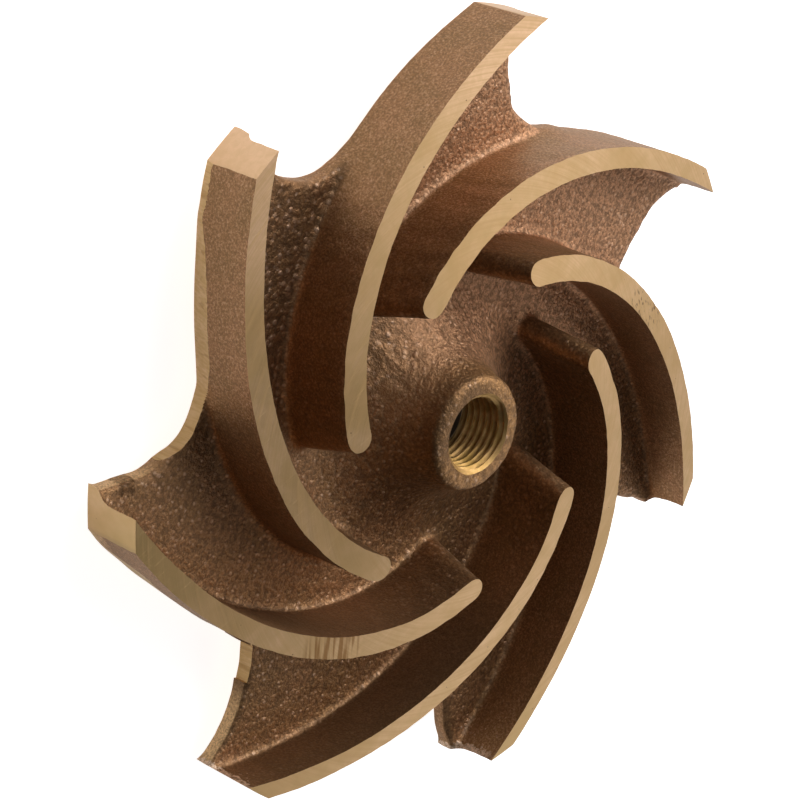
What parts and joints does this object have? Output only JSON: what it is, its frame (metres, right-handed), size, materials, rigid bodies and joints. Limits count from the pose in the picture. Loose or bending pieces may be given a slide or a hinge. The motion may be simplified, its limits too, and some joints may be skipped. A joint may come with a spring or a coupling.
{
  "type": "semi-open pump impeller",
  "caption": "Semi-open centrifugal pump impeller cast in one piece: backward-curved vanes on a scalloped back shroud with a threaded hub.",
  "frame": {"origin": "on the impeller's axis, at the machined seat on the back of the hub", "axes": "+Z along the axis towards the open suction side, +X through the middle of one vane's tip"},
  "size_m": [0.1222, 0.125, 0.0202],
  "materials": {
    "bronze": "sand-cast bronze, dull and pebbly, with bright machined vane edges, tips and rim"
  },
  "bodies": {
    "root": {"impeller_casting": "bronze"}
  },
  "joints": []
}
